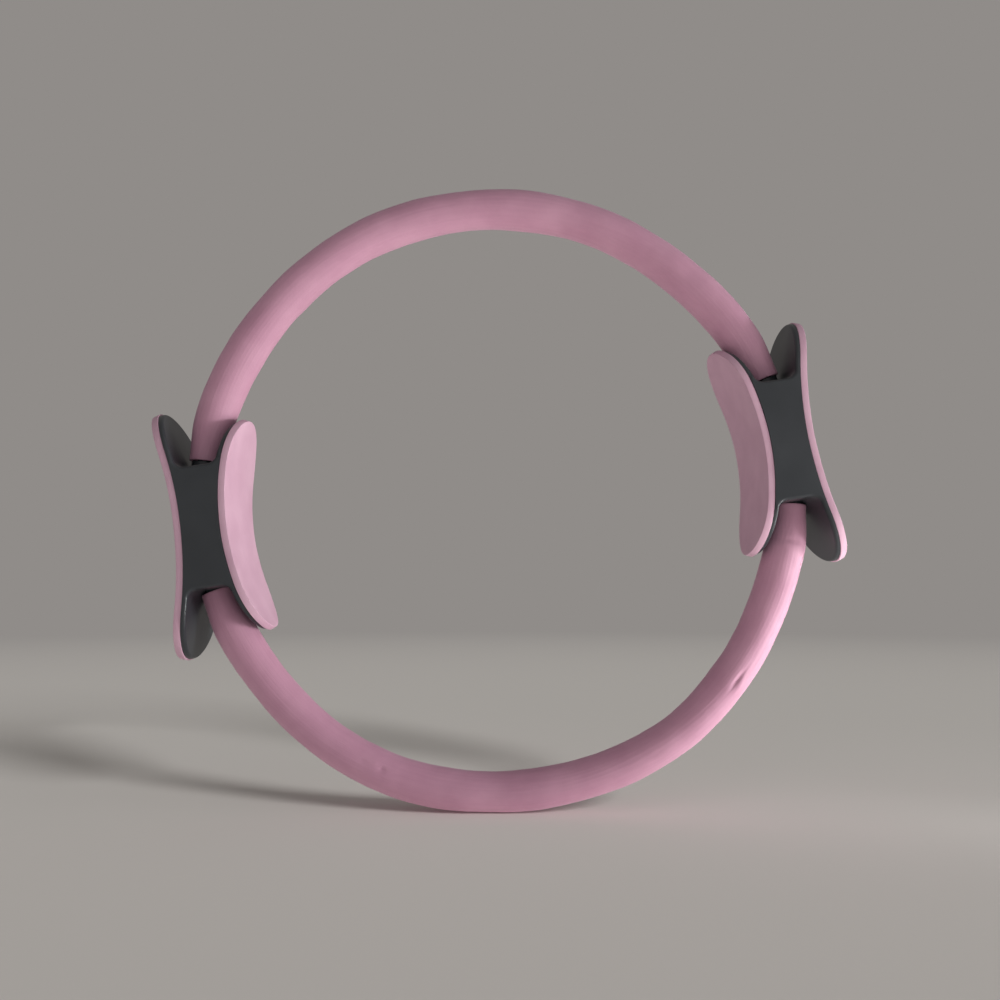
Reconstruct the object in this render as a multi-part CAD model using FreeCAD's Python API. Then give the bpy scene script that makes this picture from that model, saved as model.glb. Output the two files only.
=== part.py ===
import FreeCAD, Part
import math
import os
from FreeCAD import Vector

# Pilates ring: two half hoops of fibreglass leaves in foam sleeves, held by two padded handles.
# The ring stands in the XZ plane. Its centre is the origin, its axis is Y, and a handle is at each end of X.
# Lengths are in millimetres and angles in degrees.

# Hoop
ring_outer_diameter = 380.0
foam_diameter = 24.0
neck_diameter = 19.0
neck_straight = 2.0
neck_flare = 26.0
upper_sleeve_reach = 42.0
lower_sleeve_reach = 36.5
standing_flat_depth = 0.5

# Fibreglass leaves, two in each half hoop
leaf_width = 12.0
leaf_thickness = 2.6
leaf_end_reach = 6.0

# Handle pads: the inner pair faces the ring's middle, the outer pair faces away from it
pad_width = 56.0
pad_thickness = 4.0
pad_edge_round = 0.8
inner_pad_length = 125.0
outer_pad_length = 147.0
inner_face_radius = 148.0
outer_face_radius = 228.0
inner_waist = 21.8
outer_waist = 8.2

# Handle shells: a curved plate under each pad, with half of the block that holds the hoop ends
plate_thickness = 2.6
plate_rim = 0.4
plate_edge_round = 1.6
block_length = 71.0
block_edge_round = 2.0
block_end_fillet = 6.0
hollow_corner_round = 3.0
wall = 2.4
core_wall = 2.2
spigot_diameter = 15.8
spigot_reach = 41.5
peg_reach = 20.0
peg_diameter = 4.4
peg_root = 2.5
peg_stand = 1.2
boss_reach = 24.0
boss_spread = 15.0
boss_diameter = 8.0

# Screws that close each handle, with their heads under the outer pad
screw_diameter = 3.2
screw_head_diameter = 6.4
screw_head_height = 2.0
screw_head_chamfer = 0.5
screw_tip_length = 2.4
screw_engagement_share = 0.62

# Clearances
running_gap = 0.3
glue_gap = 0.15
thread_gap = 0.1
head_recess = 0.4
overrun = 5.0

# Sizes that follow from those above
ring_radius = (ring_outer_diameter - foam_diameter) / 2
foam_radius = foam_diameter / 2
neck_radius = neck_diameter / 2
block_half = block_length / 2
block_depth = pad_width + 2 * plate_rim
stack_half = leaf_thickness + running_gap / 2
bore_half = stack_half + running_gap
bore_width = leaf_width + 2 * running_gap
seat_depth = pad_thickness + glue_gap
back_depth = seat_depth + plate_thickness
spigot_radius = spigot_diameter / 2
peg_hole_radius = peg_diameter / 2 + running_gap
half_turn = 180.0
ring_turn = Vector(0, -1, 0)
upright = Vector(0, 0, 1)
outward = Vector(1, 0, 0)
along_axis = Vector(0, 1, 0)


# How far an arc of this radius falls away from its tangent at a height beside the tangent point
def sag(radius, height):
    return radius - math.sqrt(radius ** 2 - height ** 2)


# Angle round the ring, from the handle's middle, of a point of the centre line at this height
def angle_at(height):
    return math.degrees(math.asin(height / ring_radius))


leaf_end_angle = angle_at(leaf_end_reach)
spigot_angle = angle_at(spigot_reach)
gap_angle = math.degrees(running_gap / ring_radius)
overrun_angle = math.degrees(overrun / ring_radius)

# The seam between a handle's shells runs through the leaves, half way between their highest and lowest point
seam_inset = (sag(ring_radius, leaf_end_reach) + sag(ring_radius, spigot_reach)) / 2

# Each side of a handle is modelled facing +X, and the inner one is then turned about the centre line
outer_side = {"face": outer_waist, "radius": outer_face_radius, "length": outer_pad_length,
              "seam": -seam_inset, "turn": 0}
inner_side = {"face": inner_waist, "radius": inner_face_radius, "length": inner_pad_length,
              "seam": seam_inset, "turn": half_turn}

boss_places = [(spread, reach) for spread in (-boss_spread, boss_spread)
               for reach in (-boss_reach, boss_reach)]
peg_heights = (-peg_reach, peg_reach)


def turned_round(shape, angle):
    turned = shape.copy()
    turned.rotate(Vector(), ring_turn, angle)
    return turned


def swept_round(face, start, stop):
    return turned_round(face, start).revolve(Vector(), ring_turn, stop - start)


def other_end(shape):
    turned = shape.copy()
    turned.rotate(Vector(), upright, half_turn)
    return turned


# Sections of the hoop, drawn where the centre line crosses the X axis
def leaf_section(low, high, width):
    corners = [Vector(low, -width / 2, 0), Vector(high, -width / 2, 0),
               Vector(high, width / 2, 0), Vector(low, width / 2, 0)]
    return Part.Face(Part.makePolygon(corners + corners[:1]))


def foam_outline(radius):
    return Part.Wire(Part.makeCircle(radius, Vector(ring_radius, 0, 0), upright))


# The foam is squeezed to a neck at the handle and swells again in an S-shaped flare
def foam_end(reach, flare_angle):
    neck_angle = angle_at(reach + neck_straight)
    neck = swept_round(Part.Face(foam_outline(neck_radius)), angle_at(reach), neck_angle)
    sections = []
    flare_steps = 6
    for step in range(flare_steps + 1):
        share = step / flare_steps
        swell = share * share * (3 - 2 * share)
        radius = neck_radius + (foam_radius - neck_radius) * swell
        sections.append(turned_round(foam_outline(radius), neck_angle + (flare_angle - neck_angle) * share))
    return neck.fuse(Part.makeLoft(sections, True, False))


# A half hoop's sleeve, whose ends reach down to this height above the handles' middle
def foam_sleeve(reach):
    flare_angle = angle_at(reach + neck_straight) + math.degrees(neck_flare / ring_radius)
    body = swept_round(Part.Face(foam_outline(foam_radius)), flare_angle, half_turn - flare_angle)
    end = foam_end(reach, flare_angle)
    sleeve = body.fuse([end, other_end(end)]).removeSplitter()
    bore = leaf_section(ring_radius - bore_half, ring_radius + bore_half, bore_width)
    return sleeve.cut(swept_round(bore, 0, half_turn))


# The lower sleeve is pushed over the handles' spigots, and is cut flat where the ring stands
def lower_foam_sleeve():
    mouth = swept_round(Part.Face(foam_outline(spigot_radius + glue_gap)), 0, spigot_angle + gap_angle)
    sleeve = foam_sleeve(lower_sleeve_reach).cut([mouth, other_end(mouth)])
    sleeve = turned_round(sleeve, half_turn)
    ground = Part.makeBox(ring_radius, foam_diameter, overrun + standing_flat_depth)
    ground.translate(Vector(-ring_radius / 2, -foam_radius, -ring_outer_diameter / 2 - overrun))
    return sleeve.cut(ground)


def upper_leaf(low, high):
    leaf = swept_round(leaf_section(low, high, leaf_width), leaf_end_angle, half_turn - leaf_end_angle)
    start = Vector(-ring_outer_diameter / 2, 0, peg_reach)
    return leaf.cut(Part.makeCylinder(peg_hole_radius, ring_outer_diameter, start, outward))


# A tool at the upper end of the right-hand handle, and the same tool at its lower end
def both_ends(tool):
    lower = tool.copy()
    lower.rotate(Vector(), outward, half_turn)
    return [tool, lower]


# Room for the leaves, room for the foam's end, and the spigot that the foam is pushed over
def leaf_room():
    slot = leaf_section(ring_radius - bore_half, ring_radius + bore_half, bore_width)
    return both_ends(swept_round(slot, leaf_end_angle - gap_angle, spigot_angle + overrun_angle))


def foam_room():
    socket = Part.Face(foam_outline(neck_radius + running_gap))
    seat_angle = angle_at(lower_sleeve_reach) - gap_angle
    return both_ends(swept_round(socket, seat_angle, spigot_angle + overrun_angle))


def spigots():
    return both_ends(swept_round(Part.Face(foam_outline(spigot_radius)), angle_at(peg_reach), spigot_angle))


# A flat prism along X, between two places, with a stadium or a round-cornered outline
def stadium_prism(length, width, low, high):
    radius = width / 2
    run = length / 2 - radius
    ends = [Vector(low, radius, run), Vector(low, -radius, run),
            Vector(low, -radius, -run), Vector(low, radius, -run)]
    top = Part.Arc(ends[0], Vector(low, 0, length / 2), ends[1])
    bottom = Part.Arc(ends[2], Vector(low, 0, -length / 2), ends[3])
    edges = [top, Part.LineSegment(ends[1], ends[2]), bottom, Part.LineSegment(ends[3], ends[0])]
    outline = Part.Wire([edge.toShape() for edge in edges])
    return Part.Face(outline).extrude(Vector(high - low, 0, 0))


def hollow_prism(length, depth, low, high):
    box = Part.makeBox(high - low, depth, length, Vector(low, -depth / 2, -length / 2))
    corners = [edge for edge in box.Edges if edge.Vertexes[0].X != edge.Vertexes[1].X]
    return box.makeFillet(hollow_corner_round, corners)


# A rod along Y whose surface is the side's face, moved back into the handle by a depth
def face_rod(side, depth):
    centre = Vector(ring_radius + side["face"] + side["radius"], -pad_width, 0)
    return Part.makeCylinder(side["radius"] + depth, 2 * pad_width, centre, along_axis)


# Place of that surface at a height
def surface_at(side, depth, height):
    return ring_radius + side["face"] - depth + sag(side["radius"] + depth, height)


def reach_of(side):
    return surface_at(side, 0, side["length"] / 2 + plate_rim) + overrun


# The half block of a side: its ends sweep up into the plate's back in a fillet, and its outline is rounded
def half_block(side, low):
    back = side["radius"] + back_depth
    centre = ring_radius + side["face"] + side["radius"]
    middle = block_half + block_end_fillet
    start = centre - math.sqrt((back + block_end_fillet) ** 2 - middle ** 2)
    bow = block_end_fillet * math.sqrt(0.5)
    share = block_end_fillet / (back + block_end_fillet)
    touch = start + (centre - start) * share
    deep = touch + plate_thickness / 2
    edges = []
    corners = []
    for end in (1, -1):
        places = [(low, block_half), (start, block_half), (start + bow, middle - bow),
                  (touch, middle * (1 - share)), (deep, middle * (1 - share))]
        points = [Vector(x, -block_depth / 2, end * z) for x, z in places]
        edges += [Part.LineSegment(points[0], points[1]), Part.Arc(points[1], points[2], points[3]),
                  Part.LineSegment(points[3], points[4])]
        corners.append((points[0], points[4]))
    edges += [Part.LineSegment(upper, lower) for upper, lower in zip(*corners)]
    outline = Part.Wire(Part.__sortEdges__([edge.toShape() for edge in edges]))
    block = Part.Face(outline).extrude(Vector(0, block_depth, 0))
    ends = []
    for edge in block.Edges:
        box = edge.BoundBox
        if box.YLength < running_gap < box.XLength and box.XMax < deep - running_gap:
            ends.append(edge)
    return block.makeFillet(block_edge_round, ends)


# A sheet of even thickness bent to the side's curve, with one of its two outlines rounded
def curved_sheet(side, rim, front, back, rounded, radius):
    low = ring_radius - overrun - back
    prism = stadium_prism(side["length"] + 2 * rim, pad_width + 2 * rim, low, reach_of(side))
    sheet = prism.common(face_rod(side, back)).cut(face_rod(side, front))
    centre = ring_radius + side["face"] + side["radius"]
    outline = []
    for edge in sheet.Edges:
        spread = [math.hypot(vertex.X - centre, vertex.Z) for vertex in edge.Vertexes]
        if all(math.isclose(distance, side["radius"] + rounded, rel_tol=1e-6) for distance in spread):
            outline.append(edge)
    return sheet.makeFillet(radius, outline)


def placed(side, shape):
    turned = shape.copy()
    turned.rotate(Vector(ring_radius, 0, 0), upright, side["turn"])
    return turned


def pad(side):
    return placed(side, curved_sheet(side, 0, 0, pad_thickness, 0, pad_edge_round))


# One moulded half of a handle: plate, block walls, a core that grips the leaves, and screw bosses
def shell_blank(side):
    low = ring_radius + side["seam"]
    high = reach_of(side)
    plate = curved_sheet(side, plate_rim, seat_depth, back_depth, back_depth, plate_edge_round)
    block = half_block(side, low)
    hollow = hollow_prism(block_length - 2 * wall, block_depth - 2 * wall, low - overrun, high)
    walls = block.cut(hollow.cut(face_rod(side, back_depth)))
    core_depth = bore_width + 2 * core_wall
    core_length = block_length - wall
    core_corner = Vector(low, -core_depth / 2, -core_length / 2)
    inside = [Part.makeBox(high - low, core_depth, core_length, core_corner)]
    for spread, reach in boss_places:
        inside.append(Part.makeCylinder(boss_diameter / 2, high - low, Vector(low, spread, reach), outward))
    filled = walls.fuse(inside).cut(face_rod(side, seat_depth))
    body = placed(side, plate.fuse(filled).removeSplitter()).cut(foam_room())
    reach = 2 * ring_radius
    room = Part.makeBox(reach, reach, reach, Vector(low, -ring_radius, -ring_radius))
    half = placed(side, room.cut(face_rod(side, seat_depth)))
    body = body.fuse([spigot.common(half) for spigot in spigots()])
    return body.removeSplitter().cut(leaf_room())


screw_seat = surface_at(outer_side, seat_depth, boss_reach) - head_recess - screw_head_height
seam_place = ring_radius - seam_inset
inner_boss_floor = 2 * ring_radius - surface_at(inner_side, back_depth, boss_reach)
screw_tip = seam_place - (seam_place - inner_boss_floor) * screw_engagement_share
peg_foot = ring_radius - sag(ring_radius, peg_reach) - bore_half - peg_root
peg_top = ring_radius - sag(ring_radius, peg_reach) + bore_half + peg_stand


def right_outer_shell():
    tools = []
    for spread, reach in boss_places:
        head_depth = screw_head_height + head_recess + overrun
        shank_depth = screw_seat - seam_place + overrun
        tools.append(Part.makeCylinder(screw_head_diameter / 2 + running_gap, head_depth,
                                       Vector(screw_seat, spread, reach), outward))
        tools.append(Part.makeCylinder(screw_diameter / 2 + running_gap, shank_depth,
                                       Vector(seam_place - overrun, spread, reach), outward))
    for height in peg_heights:
        tools.append(Part.makeCylinder(peg_hole_radius, peg_top - peg_foot + running_gap,
                                       Vector(peg_foot, 0, height), outward))
    return shell_blank(outer_side).cut(tools)


def right_inner_shell():
    tools = []
    for spread, reach in boss_places:
        pilot_depth = seam_place - screw_tip + running_gap + overrun
        tools.append(Part.makeCylinder(screw_diameter / 2 + thread_gap, pilot_depth,
                                       Vector(screw_tip - running_gap, spread, reach), outward))
    pegs = []
    for height in peg_heights:
        foot = Vector(peg_foot, 0, height)
        pegs.append(Part.makeCylinder(peg_diameter / 2, peg_top - peg_foot, foot, outward))
    return shell_blank(inner_side).cut(tools).fuse(pegs).removeSplitter()


def screw(spread, reach):
    radius = screw_diameter / 2
    head_radius = screw_head_diameter / 2
    shank = screw_seat - screw_tip
    top = shank + screw_head_height
    profile = [Vector(0, 0, 0), Vector(screw_tip_length, radius, 0),
               Vector(shank, radius, 0), Vector(shank, head_radius, 0),
               Vector(top - screw_head_chamfer, head_radius, 0),
               Vector(top, head_radius - screw_head_chamfer, 0), Vector(top, 0, 0)]
    body = Part.Face(Part.makePolygon(profile + profile[:1])).revolve(Vector(), outward, 2 * half_turn)
    body.translate(Vector(screw_tip, spread, reach))
    return body


def right_screws():
    return Part.makeCompound([screw(spread, reach) for spread, reach in boss_places])


def main():
    inner_leaf = upper_leaf(ring_radius - stack_half, ring_radius - running_gap / 2)
    outer_leaf = upper_leaf(ring_radius + running_gap / 2, ring_radius + stack_half)
    nodes = {
        "upper_foam_sleeve": foam_sleeve(upper_sleeve_reach),
        "lower_foam_sleeve": lower_foam_sleeve(),
        "upper_inner_leaf": inner_leaf,
        "upper_outer_leaf": outer_leaf,
        "lower_inner_leaf": turned_round(inner_leaf, half_turn),
        "lower_outer_leaf": turned_round(outer_leaf, half_turn),
    }
    handle = {
        "outer_shell": right_outer_shell(),
        "inner_shell": right_inner_shell(),
        "outer_pad": pad(outer_side),
        "inner_pad": pad(inner_side),
        "screws": right_screws(),
    }
    for name, shape in handle.items():
        nodes["right_" + name] = shape
        nodes["left_" + name] = turned_round(shape, half_turn)
    os.makedirs("parts", exist_ok=True)
    for name, shape in nodes.items():
        shape.exportStep("parts/" + name + ".step")
        print(name, len(shape.Solids), "solid", shape.isValid(), round(shape.Volume), "mm3")


main()
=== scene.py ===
import math

import bpy
from mathutils import Matrix, Vector, noise


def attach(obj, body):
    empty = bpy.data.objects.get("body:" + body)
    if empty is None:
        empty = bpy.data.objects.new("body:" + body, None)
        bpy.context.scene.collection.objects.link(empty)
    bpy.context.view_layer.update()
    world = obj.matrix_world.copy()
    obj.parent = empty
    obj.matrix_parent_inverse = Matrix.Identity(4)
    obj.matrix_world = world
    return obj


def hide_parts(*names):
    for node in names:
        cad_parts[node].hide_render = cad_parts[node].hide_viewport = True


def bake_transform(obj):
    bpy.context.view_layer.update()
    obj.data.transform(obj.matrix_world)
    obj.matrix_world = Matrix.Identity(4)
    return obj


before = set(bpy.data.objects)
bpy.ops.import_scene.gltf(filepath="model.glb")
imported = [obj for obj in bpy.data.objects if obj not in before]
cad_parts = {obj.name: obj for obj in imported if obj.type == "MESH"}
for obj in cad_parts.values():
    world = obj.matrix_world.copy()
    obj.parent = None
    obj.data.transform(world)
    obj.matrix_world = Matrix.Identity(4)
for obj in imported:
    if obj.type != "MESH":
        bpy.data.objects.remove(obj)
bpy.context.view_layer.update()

mm = 0.001
ringRadius = 178 * mm  # middle of the foam tube
rollAngle = math.radians(8.595)  # the ring in the photo has rolled this far on its floor
levelTurn = Matrix.Rotation(rollAngle, 3, "Y")  # turns the level floor's directions into the ring's
handSides = {"left": -1, "right": 1}


# colours are written as sRGB hex and used as linear light
def linear(hexColour):
    shares = [int(hexColour[i:i + 2], 16) / 255 for i in (1, 3, 5)]
    return [s / 12.92 if s <= 0.04045 else ((s + 0.055) / 1.055) ** 2.4 for s in shares] + [1]


def fillNode(tree, node, values, links):
    for key, value in values.items():
        node.inputs[key].default_value = value
    for key, source in links.items():
        tree.links.new(source, node.inputs[key])


def addNode(tree, kind, settings={}, values={}, links={}):
    node = tree.nodes.new(kind)
    for key, value in settings.items():
        setattr(node, key, value)
    fillNode(tree, node, values, links)
    return node


def addNoise(tree, size, detail, place):
    values = {"Scale": 1 / size, "Detail": detail}
    return addNode(tree, "ShaderNodeTexNoise", {}, values, {"Vector": place}).outputs["Fac"]


def addRange(tree, source, fromLow, fromHigh, toLow=0.0, toHigh=1.0, ease="LINEAR"):
    values = {1: fromLow, 2: fromHigh, 3: toLow, 4: toHigh}
    return addNode(tree, "ShaderNodeMapRange", {"interpolation_type": ease}, values, {0: source}).outputs[0]


# 1 for rays that the eye follows, straight, through glass or by a reflection, and 0 for the others
def seenByEye(tree):
    path = addNode(tree, "ShaderNodeLightPath")
    rays = addNode(tree, "ShaderNodeMath", {"operation": "MAXIMUM"}, {},
                   {0: path.outputs["Is Camera Ray"], 1: path.outputs["Is Transmission Ray"]})
    rays = addNode(tree, "ShaderNodeMath", {"operation": "MAXIMUM"}, {},
                   {0: rays.outputs[0], 1: path.outputs["Is Glossy Ray"]})
    return rays.outputs[0]


def startMaterial(name):
    material = bpy.data.materials.new(name)
    material.use_nodes = True
    return material, material.node_tree, material.node_tree.nodes["Principled BSDF"]


def clearSelection():
    if bpy.context.object and bpy.context.object.mode != "OBJECT":
        bpy.ops.object.mode_set(mode="OBJECT")
    bpy.ops.object.select_all(action="DESELECT")


def nameNew(name):
    piece = bpy.context.object
    piece.name = name
    piece.data.name = name
    return piece


def pickEdges(piece, wanted):
    bpy.ops.mesh.select_mode(type="EDGE")
    bpy.ops.mesh.select_all(action="DESELECT")
    bpy.ops.object.mode_set(mode="OBJECT")
    for edge in piece.data.edges:
        edge.select = wanted(*[piece.data.vertices[i].co for i in edge.vertices])
    bpy.ops.object.mode_set(mode="EDIT")


def useModifier(piece, kind, settings):
    modifier = piece.modifiers.new(kind.lower(), kind)
    for key, value in settings.items():
        setattr(modifier, key, value)
    bpy.ops.object.modifier_apply(modifier=modifier.name)


# nearly all of a noise lies between these two values
noiseLow, noiseHigh = 0.3, 0.7
cloudDetail, fineDetail = 3.0, 2.0


def finishSkin(tree, skin, s, spread, gloss, height):
    colour = addNode(tree, "ShaderNodeMix", {"data_type": "RGBA"},
                     {6: linear(s["dark"]), 7: linear(s["light"])}, {0: spread})
    rough = addRange(tree, gloss, noiseLow, noiseHigh, s["roughLow"], s["roughHigh"])
    bump = addNode(tree, "ShaderNodeBump", {},
                   {"Strength": s["bumpStrength"], "Distance": s["bumpDepth"]}, {"Height": height})
    fillNode(tree, skin, {"IOR": s["ior"]},
             {"Base Color": colour.outputs[2], "Roughness": rough, "Normal": bump.outputs[0]})


# closed-cell foam tube, extruded with a skin: dull, softly mottled, fine draw lines along the run, paler
# where the light grazes its cells
hoopFoam = {
    "light": "#d09cb4", "dark": "#c691aa", "mottle": 22 * mm, "spreadLow": 0.45, "spreadHigh": 0.9,
    "streakLength": 70 * mm, "streakWidth": 1.4 * mm, "streakShare": 0.35,
    "grain": 1.3 * mm, "grainShare": 0.4, "bumpStrength": 0.5, "bumpDepth": 0.4 * mm,
    "roughLow": 0.56, "roughHigh": 0.72, "ior": 1.5,
    "sheen": 0.18, "sheenRough": 0.4, "sheenTint": "#eadfec",
}


def makeHoopFoam(name, s):
    material, tree, skin = startMaterial(name)
    run = addNode(tree, "ShaderNodeAttribute", {"attribute_name": "sleeveRun"}).outputs["Vector"]
    stretch = addNode(tree, "ShaderNodeVectorMath", {"operation": "MULTIPLY"},
                      {1: (1 / s["streakLength"], 1 / s["streakWidth"], 1 / s["streakWidth"])}, {0: run})
    mottle = addNoise(tree, s["mottle"], cloudDetail, run)
    streak = addNoise(tree, 1, fineDetail, stretch.outputs[0])
    grain = addNoise(tree, s["grain"], fineDetail, run)
    both = addNode(tree, "ShaderNodeMath", {"operation": "MULTIPLY_ADD"}, {1: s["streakShare"]},
                   {0: streak, 2: mottle})
    spread = addRange(tree, both.outputs[0], s["spreadLow"], s["spreadHigh"])
    height = addNode(tree, "ShaderNodeMath", {"operation": "MULTIPLY_ADD"}, {1: s["grainShare"]},
                     {0: grain, 2: streak})
    finishSkin(tree, skin, s, spread, grain, height.outputs[0])
    fillNode(tree, skin, {"Sheen Weight": s["sheen"], "Sheen Roughness": s["sheenRough"],
                          "Sheen Tint": linear(s["sheenTint"])}, {})
    return material


# die-cut foam sheet: a little paler and smoother than the tube, with a fine even grain
padFoam = {
    "light": "#d9b1c5", "dark": "#cfa4ba", "mottle": 16 * mm, "grain": 1.2 * mm,
    "roughLow": 0.55, "roughHigh": 0.7, "ior": 1.5, "bumpStrength": 0.2, "bumpDepth": 0.3 * mm, "metal": 0,
}
# moulded ABS, black: satin, a fine spark-eroded grain, faint cloudy gloss
shellPlastic = {
    "light": "#34383d", "dark": "#2b2f34", "mottle": 30 * mm, "grain": 0.9 * mm,
    "roughLow": 0.36, "roughHigh": 0.46, "ior": 1.53, "bumpStrength": 0.05, "bumpDepth": 0.3 * mm, "metal": 0,
}
# pultruded fibreglass, black and dull, nearly always hidden in the foam
leafGlass = {
    "light": "#232425", "dark": "#18191a", "mottle": 12 * mm, "grain": 1.0 * mm,
    "roughLow": 0.45, "roughHigh": 0.6, "ior": 1.52, "bumpStrength": 0.1, "bumpDepth": 0.3 * mm, "metal": 0,
}
# zinc-plated steel of the screws, hidden under the outer pads
screwZinc = {
    "light": "#b9bbbd", "dark": "#a3a6a9", "mottle": 4 * mm, "grain": 0.8 * mm,
    "roughLow": 0.28, "roughHigh": 0.4, "ior": 1.45, "bumpStrength": 0.05, "bumpDepth": 0.3 * mm, "metal": 1,
}


def makeCloudy(name, s):
    material, tree, skin = startMaterial(name)
    place = addNode(tree, "ShaderNodeTexCoord").outputs["Object"]
    mottle = addNoise(tree, s["mottle"], cloudDetail, place)
    grain = addNoise(tree, s["grain"], fineDetail, place)
    finishSkin(tree, skin, s, addRange(tree, mottle, noiseLow, noiseHigh), mottle, grain)
    fillNode(tree, skin, {"Metallic": s["metal"]}, {})
    return material


hoopFoamSkin = makeHoopFoam("EVA_foam_extruded_pink", hoopFoam)
padFoamSkin = makeCloudy("EVA_foam_sheet_pink", padFoam)
shellPlasticSkin = makeCloudy("ABS_moulded_black_satin", shellPlastic)
leafGlassSkin = makeCloudy("fibreglass_pultruded_black", leafGlass)
screwZincSkin = makeCloudy("steel_zinc_plated", screwZinc)
print("materials made")

# foam sleeves, one quarter hoop at a time, each listed with the two bodies that it lies between; swayFade is
# in degrees of hoop, and a dent ends at dentReach times its half length and half width
sleeve = {
    "neckRadius": 9.5 * mm, "mouthRound": 0.5 * mm, "mouthTurns": (0, 30, 60, 90),
    "around": 96, "runSteps": 136, "flareSteps": 20, "mergeBelow": 0.01 * mm, "smoothBelow": 40,
    "lumpSize": 34 * mm, "lumpDepth": 0.75 * mm, "lumpDetail": 2, "swayFade": 8, "dentReach": 3,
}
# the upper tube is a little thicker than the lower one, which is stretched; neither is quite round, so
# a sway is degrees from the crown, half length in degrees and a shift inwards; flare, neck and end are
# degrees of hoop from the crown
halves = {
    "upper": {
        "crown": 1, "flare": 67.32, "neck": 75.69, "end": 76.35, "wall": 2.4 * mm, "radius": 12.2 * mm,
        "sways": [(50, 19, 1.3 * mm)], "node": "upper_foam_sleeve",
    },
    "lower": {
        "crown": -1, "flare": 69.14, "neck": 77.51, "end": 78.17, "wall": 1.5 * mm, "radius": 11.5 * mm,
        "sways": [(27, 13, -1.2 * mm), (61, 12, 1.5 * mm)], "node": "lower_foam_sleeve",
    },
}
# a dent is degrees from the crown, degrees round the tube from its front outwards, half length, half
# width, depth
quarters = {
    "foam_upper_right": {
        **halves["upper"], "side": 1, "bodies": ("right_handle", "upper_core"),
        "dents": [(50.8, -9, 9 * mm, 5 * mm, 0.6 * mm), (42.4, 12, 11 * mm, 6 * mm, 0.5 * mm)],
    },
    "foam_upper_left": {
        **halves["upper"], "side": -1, "bodies": ("left_handle", "upper_hoop"),
        "dents": [(20, -75, 18 * mm, 9 * mm, 0.9 * mm)],
    },
    "foam_lower_right": {
        **halves["lower"], "side": 1, "bodies": ("lower_hoop", "right_handle"),
        "dents": [(42.3, 8, 6 * mm, 1.1 * mm, 1.0 * mm), (41.5, 24, 5 * mm, 1.6 * mm, -0.5 * mm),
                  (70.9, -2, 1.3 * mm, 7 * mm, 0.4 * mm), (25, -75, 30 * mm, 9 * mm, 1.2 * mm)],
    },
    "foam_lower_left": {
        **halves["lower"], "side": -1, "bodies": ("lower_hoop", "left_handle"),
        "dents": [(30.6, -11, 1.5 * mm, 1.5 * mm, 0.8 * mm), (34.4, -9, 3 * mm, 1.6 * mm, 0.3 * mm),
                  (40, -75, 22 * mm, 9 * mm, 1.0 * mm)],
    },
}


def neckProfile(s, q):
    rings = []
    for step in range(1, s["flareSteps"] + 1):
        share = step / s["flareSteps"]
        ease = share * share * (3 - 2 * share)
        rings.append((q["flare"] + (q["neck"] - q["flare"]) * share,
                      q["radius"] + (s["neckRadius"] - q["radius"]) * ease))
    roundAngle = math.degrees(s["mouthRound"] / ringRadius)
    for degrees in s["mouthTurns"]:
        turn = math.radians(degrees)
        rings.append((q["end"] - roundAngle * (1 - math.sin(turn)),
                      s["neckRadius"] - s["mouthRound"] * (1 - math.cos(turn))))
    return rings


# angle along the hoop from its crown, angle round the tube from its front, distance from the ring's middle
def tubePlace(q, co):
    rho = math.hypot(co.x, co.z)
    angle = math.atan2(q["side"] * co.x, q["crown"] * co.z)
    return angle, math.atan2(rho - ringRadius, -co.y), rho


def shapeByHand(piece, s, q):
    for point in piece.data.vertices:
        angle, _, rho = tubePlace(q, point.co)
        degrees = math.degrees(angle)
        fade = min(1, max(0, (q["neck"] - degrees) / s["swayFade"]))
        pull = sum(size * math.exp(-((degrees - middle) / half) ** 2) for middle, half, size in q["sways"])
        point.co -= Vector((point.co.x, 0, point.co.z)) * pull * fade / rho
    for middle, roundPlace, halfLength, halfWidth, depth in q["dents"]:
        for point in piece.data.vertices:
            angle, turn, _ = tubePlace(q, point.co)
            along = (angle - math.radians(middle)) * ringRadius / halfLength
            across = (turn - math.radians(roundPlace)) * q["radius"] / halfWidth
            if abs(along) < s["dentReach"] and abs(across) < s["dentReach"]:
                point.co -= point.normal * depth * math.exp(-along * along - across * across)


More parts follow.
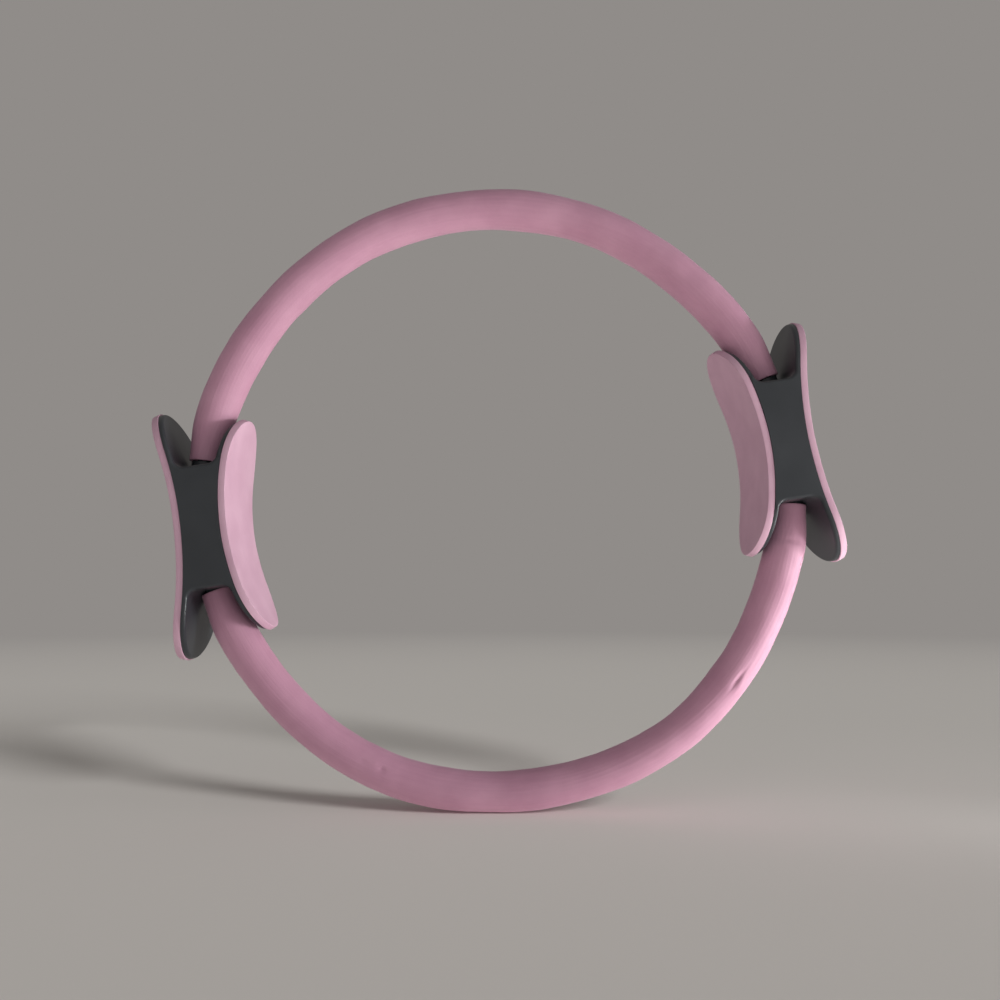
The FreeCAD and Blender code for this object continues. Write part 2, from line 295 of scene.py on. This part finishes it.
def makeQuarter(name, q):
    s = sleeve
    clearSelection()
    bpy.ops.mesh.primitive_circle_add(vertices=s["around"], radius=q["radius"], fill_type="NOTHING",
                                      location=(0, 0, q["crown"] * ringRadius), rotation=(0, math.pi / 2, 0))
    piece = nameNew(name)
    bpy.ops.object.transform_apply(location=True, rotation=True, scale=True)
    bpy.ops.object.mode_set(mode="EDIT")
    bpy.ops.mesh.select_all(action="SELECT")
    way = -q["side"] * q["crown"]
    bpy.ops.mesh.spin(steps=s["runSteps"], angle=way * math.radians(q["flare"]),
                      center=(0, 0, 0), axis=(0, 1, 0))
    # the spin leaves its last ring selected; flare, neck and rounded mouth are extruded on from it
    angleBefore, radiusBefore = q["flare"], q["radius"]
    for angle, radius in neckProfile(s, q):
        turn = math.radians(angle)
        middle = Vector((q["side"] * math.sin(turn), 0, q["crown"] * math.cos(turn))) * ringRadius
        bpy.ops.mesh.extrude_region_move()
        bpy.ops.transform.rotate(value=way * math.radians(angle - angleBefore), orient_axis="Y",
                                 center_override=(0, 0, 0))
        bpy.ops.transform.resize(value=(radius / radiusBefore,) * 3, center_override=middle)
        angleBefore, radiusBefore = angle, radius
    bpy.ops.mesh.select_all(action="SELECT")
    bpy.ops.mesh.remove_doubles(threshold=s["mergeBelow"])
    bpy.ops.mesh.normals_make_consistent(inside=False)
    bpy.ops.object.mode_set(mode="OBJECT")
    # the lumps fade out along the flare, so that the neck keeps its fit
    loose = piece.vertex_groups.new(name="loose")
    for point in piece.data.vertices:
        angle = math.degrees(tubePlace(q, point.co)[0])
        share = min(1, max(0, (q["neck"] - angle) / (q["neck"] - q["flare"])))
        loose.add([point.index], share, "REPLACE")
    lumps = bpy.data.textures.new(name + "_lumps", "CLOUDS")
    lumps.noise_scale = s["lumpSize"]
    lumps.noise_depth = s["lumpDetail"]
    useModifier(piece, "DISPLACE", {"texture": lumps, "texture_coords": "LOCAL", "vertex_group": "loose",
                                    "strength": 2 * s["lumpDepth"], "mid_level": 0.5})
    shapeByHand(piece, s, q)
    piece.vertex_groups.clear()
    useModifier(piece, "SOLIDIFY", {"thickness": q["wall"], "offset": -1, "use_even_offset": True})
    bpy.ops.object.shade_smooth_by_angle(angle=math.radians(s["smoothBelow"]))
    # the foam's look follows the run of the tube, also where it bends
    run = piece.data.attributes.new("sleeveRun", "FLOAT_VECTOR", "POINT")
    for point in piece.data.vertices:
        angle, _, rho = tubePlace(q, point.co)
        run.data[point.index].vector = (q["side"] * angle * ringRadius + q["crown"], point.co.y, rho)
    piece.data.materials.append(hoopFoamSkin)
    return piece


for name, q in quarters.items():
    piece = makeQuarter(name, q)
    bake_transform(piece)
    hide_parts(q["node"])
print("foam sleeves made")

# fibreglass leaves: the imported ones cut in half at the crown, as the foam is; the halves
# stop a hair short of each other, leaving a gap between them
leaf = {"cut": 0.05 * mm, "mergeBelow": 0.001 * mm, "smoothBelow": 30}
for half, h in halves.items():
    for depth in ("inner", "outer"):
        for hand, side in handSides.items():
            node = half + "_" + depth + "_leaf"
            clearSelection()
            piece = bpy.data.objects.new("leaf_" + half + "_" + depth + "_" + hand,
                                         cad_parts[node].data.copy())
            bpy.context.collection.objects.link(piece)
            bpy.context.view_layer.objects.active = piece
            piece.select_set(True)
            bpy.ops.object.mode_set(mode="EDIT")
            bpy.ops.mesh.select_all(action="SELECT")
            bpy.ops.mesh.remove_doubles(threshold=leaf["mergeBelow"])
            bpy.ops.mesh.bisect(plane_co=(side * leaf["cut"], 0, 0), plane_no=(side, 0, 0), use_fill=True,
                                clear_inner=True)
            bpy.ops.object.mode_set(mode="OBJECT")
            bpy.ops.object.shade_smooth_by_angle(angle=math.radians(leaf["smoothBelow"]))
            piece.data.materials.clear()
            piece.data.materials.append(leafGlassSkin)
            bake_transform(piece)
            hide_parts(node)
print("leaves made")

# pads: foam sheet cut to a long oval, bent to the plate and glued on; "middle" is the centre of the bend,
# and this gridTurn puts the grid's corners evenly on the round ends
pad = {
    "width": 56 * mm, "thickness": 4 * mm, "cornerSteps": 12, "sideSteps": 24, "gridTurn": -10,
    "edgeRound": 0.7 * mm, "edgeSteps": 3, "edgeAbove": 50, "smoothBelow": 35, "mergeBelow": 0.1 * mm,
    "wave": 0.25 * mm, "waveSize": 26 * mm,
    "waveShifts": (Vector((0, 0, 0)), Vector((31.7, 5.3, 0)), Vector((0, 17.9, 43.1))),
}
pads = {
    "inner_pad": {"length": 125 * mm, "face": 148 * mm, "middle": 8.2 * mm, "outward": 1},
    "outer_pad": {"length": 147 * mm, "face": 228 * mm, "middle": 414.2 * mm, "outward": -1},
}


def makePad(name, p, side):
    s = pad
    clearSelection()
    bpy.ops.mesh.primitive_plane_add(size=1, rotation=(0, math.pi / 2, 0))
    piece = nameNew(name)
    piece.scale = (p["length"], s["width"], 1)
    bpy.ops.object.transform_apply(location=True, rotation=True, scale=True)
    bpy.ops.object.mode_set(mode="EDIT")
    bpy.ops.mesh.select_mode(type="VERT")
    bpy.ops.mesh.select_all(action="SELECT")
    bpy.ops.mesh.bevel(offset=s["width"] / 2, segments=s["cornerSteps"], affect="VERTICES")
    bpy.ops.mesh.select_all(action="SELECT")
    bpy.ops.mesh.remove_doubles(threshold=s["mergeBelow"])
    bpy.ops.mesh.delete(type="ONLY_FACE")
    # only the two straight sides are this long
    pickEdges(piece, lambda a, b: (a - b).length > s["width"] / 4)
    bpy.ops.mesh.subdivide(number_cuts=s["sideSteps"] - 1)
    bpy.ops.mesh.select_all(action="SELECT")
    bpy.ops.mesh.fill_grid(span=s["cornerSteps"], offset=s["gridTurn"])
    bpy.ops.mesh.subdivide(number_cuts=1)
    bpy.ops.object.mode_set(mode="OBJECT")
    # bent round the plate's centre, with the slight unevenness of glued sheet
    for point in piece.data.vertices:
        y, z = point.co.y, point.co.z
        spot = Vector((side * p["face"], y, z)) / s["waveSize"]
        drift = Vector([noise.noise(spot + shift) for shift in s["waveShifts"]]) * s["wave"]
        x = p["middle"] + p["outward"] * math.sqrt(p["face"] ** 2 - z ** 2)
        point.co = (side * x + drift.x, y + drift.y, z + drift.z)
    bpy.ops.object.mode_set(mode="EDIT")
    bpy.ops.mesh.select_all(action="SELECT")
    bpy.ops.mesh.normals_make_consistent(inside=False)
    bpy.ops.object.mode_set(mode="OBJECT")
    # the sheet is the free face, so it looks away from the plate and is thickened towards it
    if piece.data.polygons[0].normal.x * side * p["outward"] > 0:
        bpy.ops.object.mode_set(mode="EDIT")
        bpy.ops.mesh.flip_normals()
        bpy.ops.object.mode_set(mode="OBJECT")
    useModifier(piece, "SOLIDIFY", {"thickness": s["thickness"], "offset": -1})
    useModifier(piece, "BEVEL", {"width": s["edgeRound"], "segments": s["edgeSteps"], "limit_method": "ANGLE",
                                 "angle_limit": math.radians(s["edgeAbove"])})
    bpy.ops.object.shade_smooth_by_angle(angle=math.radians(s["smoothBelow"]))
    piece.data.materials.append(padFoamSkin)
    return piece


for hand, side in handSides.items():
    for kind, p in pads.items():
        piece = makePad("foam_" + hand + "_" + kind, p, side)
        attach(piece, hand + "_handle")
        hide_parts(hand + "_" + kind)
print("pads made")

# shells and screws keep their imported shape
for name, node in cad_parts.items():
    if "shell" in name or "screws" in name:
        node.data.materials.clear()
        node.data.materials.append(shellPlasticSkin if "shell" in name else screwZincSkin)
print("shells and screws coloured")

# floor, level as in the photo: matte warm grey, fading into the backdrop far away; it glows like a light
# table, brighter on the right, which lights the ring from below right as in the photo, and the eye doesn't
# see that glow
backdropColour = "#908c89"
ground = {
    "size": 8, "height": -189.6 * mm, "colour": "#c9c5c0", "rough": 0.9, "fadeStart": 0.5, "fadeEnd": 3.5,
    "glowColour": "#dedad5", "glowStart": 0.0, "glowEnd": 0.35, "glowLeft": 0.25, "glowRight": 1.6,
    "glowSeen": 0.0,
}
clearSelection()
bpy.ops.mesh.primitive_plane_add(size=ground["size"])
floor = nameNew("floor")
floor.rotation_euler = (0, rollAngle, 0)
floor.location = levelTurn @ Vector((0, 0, ground["height"]))
floorPaint, tree, skin = startMaterial("floor_matte_warm_grey")
spot = addNode(tree, "ShaderNodeTexCoord").outputs["Object"]
place = addNode(tree, "ShaderNodeSeparateXYZ", {}, {}, {0: spot})
bright = addRange(tree, place.outputs["X"], ground["glowStart"], ground["glowEnd"],
                  ground["glowLeft"], ground["glowRight"], "SMOOTHSTEP")
glow = addNode(tree, "ShaderNodeMapRange", {}, {4: ground["glowSeen"]}, {0: seenByEye(tree), 3: bright})
fillNode(tree, skin, {"Base Color": linear(ground["colour"]), "Roughness": ground["rough"],
                      "Emission Color": linear(ground["glowColour"])},
         {"Emission Strength": glow.outputs[0]})
away = addNode(tree, "ShaderNodeVectorMath", {"operation": "LENGTH"}, {}, {0: spot})
fade = addRange(tree, away.outputs["Value"], ground["fadeStart"], ground["fadeEnd"], ease="SMOOTHSTEP")
backdrop = addNode(tree, "ShaderNodeEmission", {}, {"Color": linear(backdropColour)})
faded = addNode(tree, "ShaderNodeMixShader", {}, {},
                {0: fade, 1: skin.outputs[0], 2: backdrop.outputs[0]})
tree.links.new(faded.outputs[0], tree.nodes["Material Output"].inputs["Surface"])
floor.data.materials.append(floorPaint)
print("floor made")

# camera fitted to the photo, turned by degrees, with its lens in millimetres
view = {"at": (-12.12 * mm, -505.61 * mm, -68.82 * mm), "turn": (96.9994, 8.5948, -0.3985),
        "lens": 30.242, "clipStart": 10 * mm}
clearSelection()
bpy.ops.object.camera_add(location=view["at"], rotation=[math.radians(a) for a in view["turn"]])
camera = bpy.context.object
camera.data.lens = view["lens"]
camera.data.clip_start = view["clipStart"]
bpy.context.scene.camera = camera

# two soft lamps with grids, low on the right as in the photo: one for the whole ring, one for the edge of
# its lower right quarter; a very wide, weak sun, because the room is brighter at the front right than at
# the wall behind; and a narrower sun for the floor alone, which gives the ring its shadow, to the left and
# behind as in the photo
lamps = {
    "key": {
        "kind": "AREA", "at": (1.25, -0.26, -0.11), "aim": (0, 0, 0),
        "data": {"shape": "RECTANGLE", "size": 0.4, "size_y": 0.12, "spread": math.radians(40),
                 "energy": 0.45},
    },
    "edge": {
        "kind": "AREA", "at": (0.42, -0.08, -0.165), "aim": (0.15, 0, -0.1),
        "data": {"shape": "RECTANGLE", "size": 0.1, "size_y": 0.03, "spread": math.radians(60),
                 "energy": 0.065},
    },
    "window": {
        "kind": "SUN", "at": (0.6352, -0.75, 0.1466), "aim": (0, 0, 0),
        "data": {"angle": math.radians(130), "energy": 0.5},
    },
    "floor_sun": {
        "kind": "SUN", "at": (0.55, -0.55, 0.4), "aim": (0, 0, 0),
        "data": {"angle": math.radians(16), "energy": 2.2},
    },
}
for name, s in lamps.items():
    clearSelection()
    place, aim = levelTurn @ Vector(s["at"]), levelTurn @ Vector(s["aim"])
    bpy.ops.object.light_add(type=s["kind"], location=place)
    lamp = bpy.context.object
    lamp.name = name
    lamp.visible_camera = False
    lamp.rotation_euler = (aim - place).to_track_quat("-Z", "Y").to_euler()
    for key, value in s["data"].items():
        setattr(lamp.data, key, value)
floorOnly = bpy.data.collections.new("floor_only")
floorOnly.objects.link(floor)
bpy.data.objects["floor_sun"].light_linking.receiver_collection = floorOnly

# an even surround, a little darker for the ring than the backdrop that the eye sees
surroundColour = "#7f7d7b"
world = bpy.data.worlds.new("studio")
bpy.context.scene.world = world
world.use_nodes = True
tree = world.node_tree
surround = addNode(tree, "ShaderNodeMix", {"data_type": "RGBA"},
                   {6: linear(surroundColour), 7: linear(backdropColour)}, {0: seenByEye(tree)})
tree.links.new(surround.outputs[2], tree.nodes["Background"].inputs["Color"])
bpy.context.scene.view_settings.view_transform = "Standard"
print("camera and lights set")
